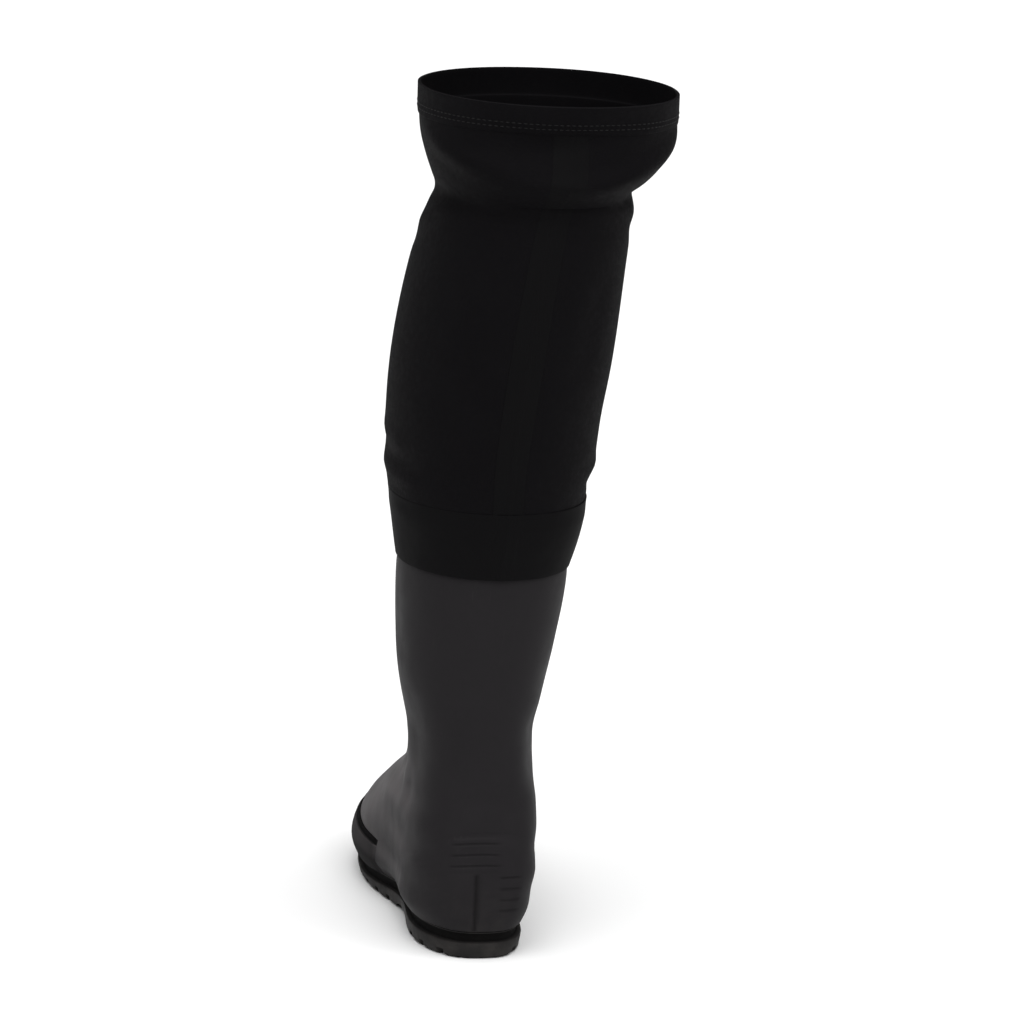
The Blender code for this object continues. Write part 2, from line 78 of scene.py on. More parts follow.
# Modelling tolerances
WELD = 0.00001
SHARP = math.radians(50)
SHADE_ANGLE = math.radians(40)
QUAD_SHAPE = math.radians(60)
UPRIGHT_SHARE = 0.35
SMOOTHING_ROUNDS = 3
FACING_SOFT = 0.5

# How far outside the leg's middle line a search for its surface starts
SEARCH_REACH = 0.3

# Width of each piece's rounded edges
SHELL_EDGE, INSOLE_EDGE, SOLE_EDGE = 0.0005, 0.0008, 0.0004
LEG_EDGE, BAND_EDGE = 0.0007, 0.0003

# Viewpoint of the photograph
CAMERA_AZIMUTH = math.radians(-11.5)
CAMERA_ELEVATION = math.radians(13.3)
CAMERA_ROLL = math.radians(2.9)
CAMERA_DISTANCE = 3.6
CAMERA_LENS = 176.0
AIM = Vector((0.004, -0.012, 0.294))

# Light and floor
SKY_TURN = (math.radians(15), 0, math.radians(-8))
SKY_POWER, SKY_SPREAD = 3.8, math.radians(85)
AIR_STRENGTH = 0.15
FLOOR_SIZE = 60.0

# Heights on the leg
BAND_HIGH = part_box("joint_band")[1].z
HEM_DEPTH = 0.020
HEM_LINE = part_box("leg")[1].z - HEM_DEPTH


class AxisPoint(NamedTuple):
    """A point on the middle line of shaft and leg, x and y from the heel's back."""

    z: float
    x: float
    y: float


LEG_AXIS = (
    AxisPoint(0.100, 0.0012, 0.082),
    AxisPoint(0.140, -0.0003, 0.081),
    AxisPoint(0.180, -0.0027, 0.076),
    AxisPoint(0.240, -0.0004, 0.075),
    AxisPoint(0.296, 0.0018, 0.075),
    AxisPoint(0.382, 0.0042, 0.077),
    AxisPoint(0.447, 0.0114, 0.079),
    AxisPoint(0.511, 0.0212, 0.082),
    AxisPoint(0.539, 0.0280, 0.085),
    AxisPoint(0.561, 0.0346, 0.083),
    AxisPoint(0.610, 0.0340, 0.084),
)


class Crease(NamedTuple):
    """A soft ridge (rise above 0) or trough along a line round the leg, from one turn and height to
    another. Turn is 0 at the back, 90 at the outer side, 180 at the front and -90 at the inner side.
    bow lifts the line's middle."""

    turn_from: float
    z_from: float
    turn_to: float
    z_to: float
    bow: float
    rise: float
    half_width: float


LEG_CREASES = {
    "outer crease behind the knee": Crease(112, 0.541, 24, 0.540, -0.002, -0.0012, 0.0048),
    "inner crease behind the knee": Crease(-24, 0.541, -112, 0.546, -0.002, -0.0012, 0.0048),
    "slack under the roll": Crease(62, 0.541, -52, 0.541, -0.003, 0.0036, 0.0090),
    "lit lip over the crease": Crease(92, 0.585, -60, 0.604, -0.026, 0.0026, 0.0085),
    "hollow of the knee": Crease(44, 0.598, -36, 0.606, -0.014, -0.0024, 0.0085),
    "outer drag line": Crease(52, 0.534, 118, 0.505, 0.003, 0.0010, 0.0060),
    "under the outer drag": Crease(60, 0.521, 124, 0.491, 0.003, -0.0010, 0.0060),
    "inner drag line": Crease(-46, 0.534, -116, 0.508, 0.002, 0.0010, 0.0060),
    "under the inner drag": Crease(-52, 0.521, -122, 0.493, 0.002, -0.0011, 0.0060),
    "calf drape": Crease(26, 0.508, 44, 0.400, 0.000, 0.0012, 0.0130),
    "inner calf drape": Crease(-36, 0.498, -26, 0.410, 0.000, -0.0012, 0.0130),
    "outer ripple": Crease(40, 0.341, 122, 0.347, -0.004, 0.0015, 0.0055),
    "outer ripple hollow": Crease(46, 0.353, 120, 0.360, -0.004, -0.0015, 0.0055),
    "upper outer ripple": Crease(58, 0.366, 112, 0.373, -0.003, 0.0010, 0.0060),
    "inner ripple": Crease(-44, 0.352, -126, 0.360, -0.005, 0.0015, 0.0060),
    "inner ripple hollow": Crease(-48, 0.338, -122, 0.344, -0.004, -0.0015, 0.0055),
    "slack over the band": Crease(-18, 0.341, 24, 0.338, 0.003, 0.0008, 0.0060),
    "shin fold": Crease(140, 0.360, 222, 0.364, 0.008, 0.0022, 0.0075),
    "shin hollow": Crease(146, 0.380, 216, 0.382, 0.008, -0.0018, 0.0075),
    "low shin fold": Crease(150, 0.340, 206, 0.343, 0.004, 0.0014, 0.0060),
    "kneecap edge": Crease(140, 0.478, 220, 0.476, -0.010, -0.0018, 0.0085),
    "upper kneecap fold": Crease(138, 0.556, 224, 0.554, 0.006, -0.0022, 0.0085),
}

SHAFT_CREASES = {
    "instep break": Crease(118, 0.136, 242, 0.136, -0.008, -0.0016, 0.0060),
    "instep roll": Crease(122, 0.148, 238, 0.148, -0.008, 0.0013, 0.0060),
    "upper instep break": Crease(132, 0.161, 228, 0.160, -0.006, -0.0010, 0.0055),
    "outer ankle dent": Crease(60, 0.112, 64, 0.196, 0.000, -0.0018, 0.0185),
    "fold beside the vamp": Crease(108, 0.124, 88, 0.084, 0.000, 0.0014, 0.0095),
    "crease beside the vamp": Crease(84, 0.112, 76, 0.092, 0.000, -0.0006, 0.0080),
    "upper vamp crease": Crease(104, 0.122, 150, 0.098, 0.002, -0.0012, 0.0060),
    "inner ankle dent": Crease(-42, 0.104, -46, 0.180, 0.000, -0.0024, 0.0185),
    "inner vamp crease": Crease(-104, 0.122, -150, 0.098, 0.002, -0.0012, 0.0060),
    "tendon crease": Crease(34, 0.116, -34, 0.115, -0.003, -0.0005, 0.0060),
    "slack of the shaft": Crease(-76, 0.210, -104, 0.250, 0.000, -0.0012, 0.0150),
    "outer slack of the shaft": Crease(66, 0.196, 96, 0.240, 0.000, -0.0008, 0.0150),
}
CREASE_SAMPLES = 25
CREASE_TAPER = 0.28

# Heel panel: level ribs across the heel's back, a centre line under them, and short marks on its inner
# side. A shade says how dark its grooves and lines are painted as shade, and how dull they are, from 0 to 1
HEEL_RADIUS = 0.043
PANEL_THICK, PANEL_FEATHER, PANEL_SKIN = 0.0008, 0.012, 0.00012
PANEL_BORDER_LOW = 0.030
RIB_GROOVES, RIB_LOW, RIB_PITCH, RIB_DROOP = 3, 0.0696, 0.0076, 0.0020
RIB_MARGIN, RIB_EDGE = 0.0048, 0.0020
RIB_RISE, RIB_GROOVE_HALF, RIB_SHADE = 0.00040, 0.0009, 0.32
RIB_OUTER, RIB_INNER, RIB_FADE = -0.028, 0.014, 0.006
CENTRE_LINE_AT, CENTRE_LINE_TOP, CENTRE_LINE_FADE = -0.0056, 0.0650, 0.003
CENTRE_LINE_HALF, CENTRE_LINE_DEPTH, CENTRE_LINE_SHADE = 0.0018, 0.00060, 0.55
SIDE_MARK_COUNT, SIDE_MARK_LOW, SIDE_MARK_PITCH = 4, 0.0370, 0.0080
SIDE_MARK_NEAR, SIDE_MARK_FAR, SIDE_MARK_FADE = 0.009, 0.027, 0.004
SIDE_MARK_DEPTH, SIDE_MARK_HALF, SIDE_MARK_SHADE = 0.00035, 0.0009, 0.38

# How deep the back of an overlay is pressed into what it lies on, and the share of its points' old
# distance from it that they keep, so that no two fall together
BACK_SINK, KEEP_APART = 0.0005, 0.04

# Toe rand: a groove along its top edge, painted dark as shade, whose lower wall runs between two distances
# from that edge, and a rear end that sinks into the upper. RAND_SHADE paints a weaker shade over the
# rest of the rand but its rear end
RAND_TOP_FACING = 0.75
RAND_THICK, RAND_GROOVE, RAND_SINK = 0.0016, 0.0005, 0.0003
RAND_WALL = (0.0040, 0.0050)
RAND_SOFT, RAND_END, RAND_SHADE = 0.0010, 0.0070, 0.55

# Seam tape and band
TAPE_THICK, TAPE_EDGE, TAPE_FEATHER = 0.00040, 0.00012, 0.0060
TAPE_UNDER_HEM, TAPE_UNDER_BAND, TAPE_DRAW = 0.0005, 0.0020, 8
SEAM_RISE, SEAM_HALF = 0.00070, 0.0017
BAND_PRESS, BAND_PRESS_REACH = 0.0011, 0.014
LAP_HALF, LAP_RISE, LAP_FADE = 0.0085, 0.0004, 0.0010


class SoleStep(NamedTuple):
    """One edge line round the sole: its distance outside the feather line, and its height under that line
    or over the tread's ground line."""

    spread: float
    under_upper: float | None
    over_floor: float | None


SOLE_STEPS = {
    "seat": SoleStep(-0.0003, 0.0003, None),
    "seat edge": SoleStep(-0.0003, 0.0010, None),
    "groove roof": SoleStep(-0.0026, 0.0018, None),
    "groove floor": SoleStep(-0.0026, 0.0075, None),
    "rim shoulder": SoleStep(0.0008, 0.0083, None),
    "rim face": SoleStep(0.0012, 0.0098, None),
    "rim foot": SoleStep(0.0000, None, 0.0022),
    "tread edge": SoleStep(-0.0024, None, 0.0000),
}

# The sole's groove under the upper and how dark it is painted as shade, the height that the feather
# line lies under, and the toe spring
GROOVE_INSIDE, GROOVE_TOP, GROOVE_BOTTOM, GROOVE_SHADE = 0.0014, 0.0014, 0.0079, 0.85
FEATHER_BELOW = 0.04
SPRING_START, TOE_SPRING = 0.205, 0.011

# Tread: V channels and fine sipes across the heel and the forefoot, at distances from the heel's back, a
# centre channel in the forefoot, and the arch between
TREAD_DEPTH, CUTTER_BELOW, CUTTER_CUTS = 0.005, 0.004, 7
CHANNEL_WIDTH, CHANNEL_SPAN, CHANNEL_SLANT = 0.0058, 0.080, 0.014
SIPE_WIDTH, SIPE_DEPTH = 0.0014, 0.0016
HEEL_CHANNELS = (0.021, 0.041, 0.061)
HEEL_SIPES = (0.011, 0.031, 0.051, 0.0715)
FORE_CHANNEL, FORE_SIPE, FORE_PITCH, FORE_ROWS = 0.146, 0.1562, 0.0205, 7
CHANNELS = HEEL_CHANNELS + tuple(FORE_CHANNEL + FORE_PITCH * row for row in range(FORE_ROWS))
SIPES = HEEL_SIPES + tuple(FORE_SIPE + FORE_PITCH * row for row in range(FORE_ROWS - 1))
CENTRE_CHANNEL = (0.136, 0.288)
ARCH_CLEAR = 0.0001
ARCH_Y = (0.080, 0.088, 0.100, 0.116, 0.140)
ARCH_Z = (-0.0040, 0.0048, 0.0062, 0.0056, -0.0040)

# Hem stitching
STITCH_PITCH, STITCH_LENGTH, STITCH_WIDTH = 0.0042, 0.0031, 0.00075
STITCH_ROWS = (0.0035, 0.0068)
HEM_REACH = 0.0915

# Where dust and painted top light lie on the foot's upward faces: they begin over one stretch of Y and
# end over one of Z
TOP_DUST_AND_LIGHT_BEGINS = (-0.115, -0.060)
TOP_DUST_AND_LIGHT_ENDS = (0.115, 0.170)

# Linear colours of the finishes: their dark and light patches, what lies on or in them, the painted top
# light that goes with the dust on the foot, and the painted shade of grooves and of the toe rand
BOOT_DARK = (0.0130, 0.0119, 0.0131)
BOOT_LIGHT = (0.0181, 0.0167, 0.0181)
BOOT_SCUFF = (0.040, 0.037, 0.037)
BOOT_DUST = (0.090, 0.082, 0.075)
# Dust on the foot's upward faces, together with painted top light
BOOT_TOP_DUST_AND_LIGHT = (0.088, 0.081, 0.083)
# Painted shade for the boot's grooves, lines and toe rand
BOOT_PAINTED_SHADE = (0.0022, 0.0020, 0.0021)
SOLE_DARK = (0.0124, 0.0116, 0.0116)
SOLE_LIGHT = (0.0180, 0.0168, 0.0166)
SOLE_SCUFF = (0.060, 0.056, 0.053)
SOLE_DUST = (0.110, 0.100, 0.090)
# Painted shade of the groove under the upper
SOLE_PAINTED_SHADE = (0.0018, 0.0017, 0.0017)
LEG_DARK = (0.0024, 0.0021, 0.0026)
LEG_LIGHT = (0.0038, 0.0034, 0.0041)
LEG_FLECK = (0.0075, 0.0070, 0.0074)
BAND_DARK = (0.0027, 0.0025, 0.0028)
BAND_LIGHT = (0.0040, 0.0038, 0.0042)
BAND_SCUFF = (0.010, 0.0097, 0.0097)
FELT_DARK = (0.040, 0.038, 0.036)
FELT_LIGHT = (0.085, 0.082, 0.078)
THREAD_DARK = (0.0040, 0.0040, 0.0042)
THREAD_LIGHT = (0.0110, 0.0108, 0.0110)
FLOOR_PAPER = (0.86, 0.86, 0.86, 1.0)


# Selecting, copying and moving

def pick_only(piece):
    bpy.ops.object.select_all(action="DESELECT")
    piece.select_set(True)
    bpy.context.view_layer.objects.active = piece


def points_of(piece):
    flat = np.empty(3 * len(piece.data.vertices))
    piece.data.vertices.foreach_get("co", flat)
    return flat.reshape(-1, 3)


def normals_of(piece):
    flat = np.empty(3 * len(piece.data.vertices))
    piece.data.vertex_normals.foreach_get("vector", flat)
    return flat.reshape(-1, 3)


def set_points(piece, points):
    piece.data.vertices.foreach_set("co", np.asarray(points, dtype=np.float32).ravel())
    piece.data.update()


def select_parts(piece, vertices=None, edges=None):
    """Selects vertices or edges by their masks and enters edit mode in that select mode."""
    pick_only(piece)
    mesh = piece.data
    mesh.vertices.foreach_set("select", np.zeros(len(mesh.vertices), dtype=bool))
    mesh.edges.foreach_set("select", np.zeros(len(mesh.edges), dtype=bool))
    mesh.polygons.foreach_set("select", np.zeros(len(mesh.polygons), dtype=bool))
    if vertices is not None:
        mesh.vertices.foreach_set("select", vertices)
    if edges is not None:
        mesh.edges.foreach_set("select", edges)
    bpy.context.tool_settings.mesh_select_mode = (vertices is not None, edges is not None, False)
    bpy.ops.object.mode_set(mode="EDIT")


def copy_node(node, name):
    """A welded copy of a CAD node, with the loft's quads in place of its triangles."""
    pick_only(frame["nodes"][node])
    bpy.ops.object.duplicate()
    piece = bpy.context.active_object
    piece.name = name
    piece.data.name = name
    piece.data.materials.clear()
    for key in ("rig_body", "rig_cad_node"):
        del piece[key]
    bpy.ops.object.parent_clear(type="CLEAR_KEEP_TRANSFORM")
    bpy.ops.mesh.customdata_custom_splitnormals_clear()
    bpy.ops.object.mode_set(mode="EDIT")
    bpy.ops.mesh.select_all(action="SELECT")
    bpy.ops.mesh.remove_doubles(threshold=WELD)
    bpy.ops.mesh.tris_convert_to_quads(face_threshold=SHARP, shape_threshold=QUAD_SHAPE)
    bpy.ops.object.mode_set(mode="OBJECT")
    return piece


def smooth_through(piece, levels):
    """Makes a piece fine and smooth, with its skin still passing through the points that it had."""
    pick_only(piece)
    bpy.ops.object.mode_set(mode="EDIT")
    bpy.ops.mesh.select_mode(type="EDGE")
    bpy.ops.mesh.select_all(action="DESELECT")
    bpy.ops.mesh.edges_select_sharp(sharpness=SHARP)
    bpy.ops.transform.edge_crease(value=1.0)
    bpy.ops.object.mode_set(mode="OBJECT")
    modifier = piece.modifiers.new("smooth", "SUBSURF")
    modifier.levels = levels
    modifier.render_levels = levels
    goal = points_of(piece)
    for _ in range(SMOOTHING_ROUNDS):
        skin = piece.evaluated_get(bpy.context.evaluated_depsgraph_get())
        reached = points_of(skin)[: len(goal)]
        set_points(piece, points_of(piece) + goal - reached)
    bpy.ops.object.modifier_apply(modifier="smooth")


def add_rings(piece):
    """Halves the upright edges of a leg, for a ring of points between each two."""
    points = points_of(piece)
    ends = np.empty(2 * len(piece.data.edges), dtype=int)
    piece.data.edges.foreach_get("vertices", ends)
    along = points[ends[1::2]] - points[ends[::2]]
    upright = np.abs(along[:, 2]) > UPRIGHT_SHARE * np.linalg.norm(along, axis=1)
    select_parts(piece, edges=upright)
    bpy.ops.mesh.subdivide(number_cuts=1)
    bpy.ops.object.mode_set(mode="OBJECT")


def round_edges(piece, width):
    """Rounds a piece's sharp edges and shades it smooth."""
    pick_only(piece)
    modifier = piece.modifiers.new("edges", "BEVEL")
    modifier.width = width
    modifier.segments = 2
    modifier.limit_method = "ANGLE"
    modifier.angle_limit = SHARP
    bpy.ops.object.modifier_apply(modifier="edges")
    bpy.ops.object.shade_smooth_by_angle(angle=SHADE_ANGLE)


def dress(piece, node, material):
    """Gives a finished piece its material, attaches it to the root body and hides the node it stands for.
    """
    piece.data.materials.clear()
    piece.data.materials.append(material)
    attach(piece, "root")
    if node:
        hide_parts(node)


def ease(value, low, high):
    """A soft step from 0 at low to 1 at high."""
    share = np.clip((value - low) / (high - low), 0.0, 1.0)
    return share * share * (3 - 2 * share)


def between(value, low, high, fade):
    """1 between low and high, fading to 0 at both."""
    return ease(value, low, low + fade) * (1 - ease(value, high - fade, high))


def stripe(distance, half_width):
    """A rounded stripe: 1 in its middle and 0 well outside its half width."""
    return np.exp(-((distance / half_width) ** 4))


def axis_at(heights):
    z = [point.z for point in LEG_AXIS]
    x = np.interp(heights, z, [HEEL_X + point.x for point in LEG_AXIS])
    y = np.interp(heights, z, [HEEL_Y + point.y for point in LEG_AXIS])
    return x, y


def round_the_axis(points):
    """Turn, reach and outward direction of points about the middle line of shaft and leg."""
    x, y = axis_at(points[:, 2])
    away = np.stack([points[:, 0] - x, points[:, 1] - y, np.zeros(len(points))], axis=1)
    reach = np.linalg.norm(away, axis=1)
    turn = np.degrees(np.arctan2(-away[:, 0], -away[:, 1]))
    return turn, reach, away / reach[:, None]


def press_creases(piece, creases):
    """Pushes both faces of a wall in or out along its creases."""
    points = points_of(piece)
    turn, reach, outward = round_the_axis(points)
    share = np.linspace(0.0, 1.0, CREASE_SAMPLES)
    total = np.zeros(len(points))
    for crease in creases.values():
        line_turn = crease.turn_from + share * (crease.turn_to - crease.turn_from)
        line_z = crease.z_from + share * (crease.z_to - crease.z_from)
        line_z += crease.bow * 4 * share * (1 - share)
        across = np.radians((line_turn - turn[:, None] + 180) % 360 - 180) * reach[:, None]
        up = line_z - points[:, 2:3]
        step_across = np.diff(across, axis=1)
        step_up = np.diff(up, axis=1)
        length = step_across**2 + step_up**2
        along = np.clip(-(across[:, :-1] * step_across + up[:, :-1] * step_up) / length, 0.0, 1.0)
        distance = np.hypot(across[:, :-1] + along * step_across, up[:, :-1] + along * step_up)
        distance[np.abs(step_across) > reach[:, None]] = np.inf
        nearest = distance.argmin(axis=1)
        rows = np.arange(len(points))
        place = (nearest + along[rows, nearest]) / (CREASE_SAMPLES - 1)
        taper = ease(np.minimum(place, 1 - place), 0.0, CREASE_TAPER)
        total += crease.rise * taper * np.exp(-((distance[rows, nearest] / crease.half_width) ** 2))
    set_points(piece, points + outward * total[:, None])


def surface_of(piece):
    """A search tree over a piece's faces."""
    points = [vertex.co for vertex in piece.data.vertices]
    return BVHTree.FromPolygons(points, [face.vertices for face in piece.data.polygons])


def tree_of(places):
    """A search tree over points."""
    tree = KDTree(len(places))
    for index, place in enumerate(places):
        tree.insert(place, index)
    tree.balance()
    return tree


def sharp_points(piece):
    """Positions of the points on a piece's sharp edges."""
    mesh = bmesh.new()
    mesh.from_mesh(piece.data)
    sharp = [edge for edge in mesh.edges if edge.is_manifold and edge.calc_face_angle() > SHARP]
    places = {vertex.index: vertex.co.copy() for edge in sharp for vertex in edge.verts}
    mesh.free()
    return list(places.values())


def nearest_on(surface, points):
    """The nearest place on a surface to each point, and its normal."""
    found = [surface.find_nearest(point) for point in points]
    return np.array([hit[0] for hit in found]), np.array([hit[1] for hit in found])


def level_on(surface, points):
    """The place on the leg's outside at each point's turn and height, and its normal."""
    _, _, outward = round_the_axis(points)
    x, y = axis_at(points[:, 2])
    middle = np.stack([x, y, points[:, 2]], axis=1)
    found = [surface.ray_cast(start, way) for start, way in zip(middle + SEARCH_REACH * outward, -outward)]
    return np.array([hit[0] for hit in found]), np.array([hit[1] for hit in found])


def lay_on(piece, base, normal, profile, border):
    """Lays an overlay on its base points: its back pressed a little into the surface, and its face as high
    over it as the profile gives from a point's place and its distance from the border. The profile's shade,
    painted shade for its grooves and faces, becomes a point attribute that darkens the material."""
    facing = np.sum(normals_of(piece) * normal, axis=1)
    share = ease(facing, -FACING_SOFT, FACING_SOFT)
    edge = np.array([border.find(point)[2] for point in base])
    height, painted_shade = profile(base, edge)
    rise = share * height - (1 - share) * BACK_SINK
    set_points(piece, base + normal * rise[:, None] + KEEP_APART * (points_of(piece) - base))
    layer = piece.data.attributes.new("painted_shade", "FLOAT", "POINT")
    layer.data.foreach_set("value", np.asarray(painted_shade, dtype=np.float32))
    pick_only(piece)
    bpy.ops.object.shade_smooth_by_angle(angle=SHADE_ANGLE)


# Shader building

def add(tree, kind, settings=None, values=None):
    """A shader node with its settings, and its inputs as values or as links from other sockets."""
    item = tree.nodes.new(kind)
    for key, value in (settings or {}).items():
        setattr(item, key, value)
    for socket, value in (values or {}).items():
        if isinstance(value, bpy.types.NodeSocket):
            tree.links.new(value, item.inputs[socket])
        else:
            item.inputs[socket].default_value = value
    return item


def calculate(tree, operation, first, second=0.0, third=0.0):
    return add(tree, "ShaderNodeMath", {"operation": operation}, {0: first, 1: second, 2: third}).outputs[0]


def span(tree, value, low, high, to_low=0.0, to_high=1.0):
    """Maps a value smoothly from one range to another."""
    values = {"Value": value, "From Min": low, "From Max": high, "To Min": to_low, "To Max": to_high}
    return add(tree, "ShaderNodeMapRange", {"interpolation_type": "SMOOTHSTEP"}, values).outputs["Result"]


def blend(tree, share, first, second):
    """A colour between two, by a share."""
    mix = add(tree, "ShaderNodeMix", {"data_type": "RGBA"}, {"Factor": share})
    for socket, colour in ((mix.inputs[6], first), (mix.inputs[7], second)):
        if isinstance(colour, bpy.types.NodeSocket):
            tree.links.new(colour, socket)
        else:
            socket.default_value = (*colour, 1.0)
    return mix.outputs[2]


def noise(tree, place, scale, detail=2.0, roughness=0.5):
    values = {"Vector": place, "Scale": scale, "Detail": detail, "Roughness": roughness}
    return add(tree, "ShaderNodeTexNoise", None, values).outputs["Fac"]


def new_group(name, inputs, outputs):
    group = bpy.data.node_groups.new(name, "ShaderNodeTree")
    for label, value in inputs.items():
        socket = group.interface.new_socket(label, in_out="INPUT", socket_type="NodeSocketFloat")
        socket.default_value = value
    for label in outputs:
        group.interface.new_socket(label, in_out="OUTPUT", socket_type="NodeSocketFloat")
    return group, group.nodes.new("NodeGroupInput"), group.nodes.new("NodeGroupOutput")


def object_place(tree):
    return add(tree, "ShaderNodeTexCoord").outputs["Object"]


def stretched(tree, place, scale):
    return add(tree, "ShaderNodeMapping", None, {"Vector": place, "Scale": scale}).outputs["Vector"]


def make_moulded_grain():
    """Fine grain of moulded rubber: Height for the bump, and Mottle, slow patches over the surface."""
    inputs = {"Grain": 900.0, "Ripple": 90.0}
    group, given, result = new_group("moulded_grain", inputs, ("Height", "Mottle"))
    place = object_place(group)
    fine = noise(group, place, given.outputs["Grain"], detail=3.0)
    slow = noise(group, place, given.outputs["Ripple"], detail=1.0)
    group.links.new(calculate(group, "MULTIPLY_ADD", fine, 0.12, slow), result.inputs["Height"])
    group.links.new(noise(group, place, 26.0, detail=4.0, roughness=0.6), result.inputs["Mottle"])
    return group


def make_handling_marks():
    """Scuffs: thin upright streaks in scattered patches."""
    group, given, result = new_group("handling_marks", {"Amount": 0.5}, ("Scuff",))
    place = object_place(group)
    streaks = noise(group, stretched(group, place, (420, 420, 46)), 1.0, detail=3.0, roughness=0.6)
    lines = span(group, streaks, 0.60, 0.72)
    where = span(group, noise(group, place, 34.0), 0.52, 0.66)
    mark = calculate(group, "MULTIPLY", calculate(group, "MULTIPLY", lines, where), given.outputs["Amount"])
    group.links.new(mark, result.inputs["Scuff"])
    return group


def make_dust_and_top_light():
    """A film of dry dust, thick near the floor and gone at Reach above it, and, on the foot's upward faces,
    dust together with painted top light.
    """
    group, given, result = new_group("dust_and_top_light", {"Reach": 0.08}, ("Dust", "TopDustAndLight"))
    place = object_place(group)
    axes = add(group, "ShaderNodeSeparateXYZ", None, {0: place}).outputs
    low = span(group, calculate(group, "DIVIDE", axes["Z"], given.outputs["Reach"]), 0.05, 1.0, 1.0, 0.0)
    patches = span(group, noise(group, place, 60.0, detail=5.0, roughness=0.65), 0.35, 0.75)
    group.links.new(calculate(group, "MULTIPLY", low, patches), result.inputs["Dust"])
    # On upward faces: dust together with painted top light, less on the flattest tops
    facing = add(group, "ShaderNodeNewGeometry").outputs["Normal"]
    upward = add(group, "ShaderNodeSeparateXYZ", None, {0: facing}).outputs["Z"]
    flat_top_fade = span(group, upward, 0.35, 0.90, 1.0, 0.45)
    clouds = span(group, noise(group, place, 28.0, detail=3.0, roughness=0.55), 0.25, 0.75, 0.7, 1.0)
    top_dust_and_light = calculate(group, "MULTIPLY", flat_top_fade, clouds)
    for share in (
        span(group, upward, -0.20, 0.45),
        span(group, axes["Y"], *TOP_DUST_AND_LIGHT_BEGINS),
        span(group, axes["Z"], *TOP_DUST_AND_LIGHT_ENDS, 1.0, 0.0),
    ):
        top_dust_and_light = calculate(group, "MULTIPLY", top_dust_and_light, share)
    group.links.new(top_dust_and_light, result.inputs["TopDustAndLight"])
    return group


def make_knit_face():
    """A fine knitted face on the cloth map: V stitches in upright columns."""
    inputs = {"Column": 0.0012, "Row": 0.0009}
    group, given, result = new_group("knit_face", inputs, ("Height", "Fluff"))
    cloth = add(group, "ShaderNodeUVMap", {"uv_map": "cloth"}).outputs["UV"]
    axes = add(group, "ShaderNodeSeparateXYZ", None, {0: cloth}).outputs
    column = calculate(group, "FRACT", calculate(group, "DIVIDE", axes["X"], given.outputs["Column"]))
    row = calculate(group, "DIVIDE", axes["Y"], given.outputs["Row"])
    side = calculate(group, "ABSOLUTE", calculate(group, "SUBTRACT", column, 0.5))
    slant = calculate(group, "MULTIPLY_ADD", side, 1.3, row)
    wave = calculate(group, "SINE", calculate(group, "MULTIPLY", slant, 2 * math.pi))
    from_rib = calculate(group, "SUBTRACT", side, 0.25)
    rib = calculate(group, "COSINE", calculate(group, "MULTIPLY", from_rib, 12.0))
    group.links.new(calculate(group, "MULTIPLY_ADD", wave, 0.35, rib), result.inputs["Height"])
    fluff = noise(group, object_place(group), 240.0, detail=4.0, roughness=0.7)
    group.links.new(fluff, result.inputs["Fluff"])
    return group


def new_material(name, specular):
    material = bpy.data.materials.new(name)
    material.use_nodes = True
    shader = material.node_tree.nodes["Principled BSDF"]
    shader.inputs["Specular IOR Level"].default_value = specular
    return material, material.node_tree, shader


def use_group(tree, group, values):
    """A group's outputs in a material, for the given values of its inputs."""
    item = tree.nodes.new("ShaderNodeGroup")
    item.node_tree = group
    for label, value in values.items():
        item.inputs[label].default_value = value
    return item.outputs


def lay_over(tree, colour, over, share, amount):
    """A colour with another over it, by an amount of a varying share."""
    return blend(tree, calculate(tree, "MULTIPLY", share, amount), colour, over)


def link_bump(tree, shader, height, strength, distance):
    bump = add(tree, "ShaderNodeBump", None, {"Height": height, "Strength": strength, "Distance": distance})
    tree.links.new(bump.outputs["Normal"], shader.inputs["Normal"])


def link_painted_shade(tree, shader, colour, shade, rough):
    """Links a colour and a roughness, painted darker as shade and duller where the piece's attribute says.
    """
    painted_shade = add(tree, "ShaderNodeAttribute", {"attribute_name": "painted_shade"}).outputs["Fac"]
    tree.links.new(blend(tree, painted_shade, colour, shade), shader.inputs["Base Color"])
    dull = calculate(tree, "MULTIPLY", painted_shade, calculate(tree, "SUBTRACT", 1.0, rough))
    tree.links.new(calculate(tree, "ADD", rough, dull), shader.inputs["Roughness"])


def make_boot_rubber(groups):
    material, tree, shader = new_material("boot_rubber", specular=0.05)
    grain = use_group(tree, groups["grain"], {"Grain": 1100.0, "Ripple": 55.0})
    marks = use_group(tree, groups["marks"], {"Amount": 0.55})
    dust = use_group(tree, groups["dust"], {"Reach": 0.075})
    colour = blend(tree, grain["Mottle"], BOOT_DARK, BOOT_LIGHT)
    colour = lay_over(tree, colour, BOOT_SCUFF, marks["Scuff"], 0.30)
    colour = lay_over(tree, colour, BOOT_DUST, dust["Dust"], 0.09)
    # Dust with painted top light on the foot's upward faces
    colour = lay_over(tree, colour, BOOT_TOP_DUST_AND_LIGHT, dust["TopDustAndLight"], 0.95)
    rough = span(tree, grain["Mottle"], 0.3, 0.7, 0.50, 0.60)
    rough = calculate(tree, "MULTIPLY_ADD", marks["Scuff"], 0.25, rough)
    # Painted shade: darker and duller in grooves and lines, and over the toe rand
    link_painted_shade(tree, shader, colour, BOOT_PAINTED_SHADE, rough)
    link_bump(tree, shader, grain["Height"], strength=0.35, distance=0.0006)
    return material


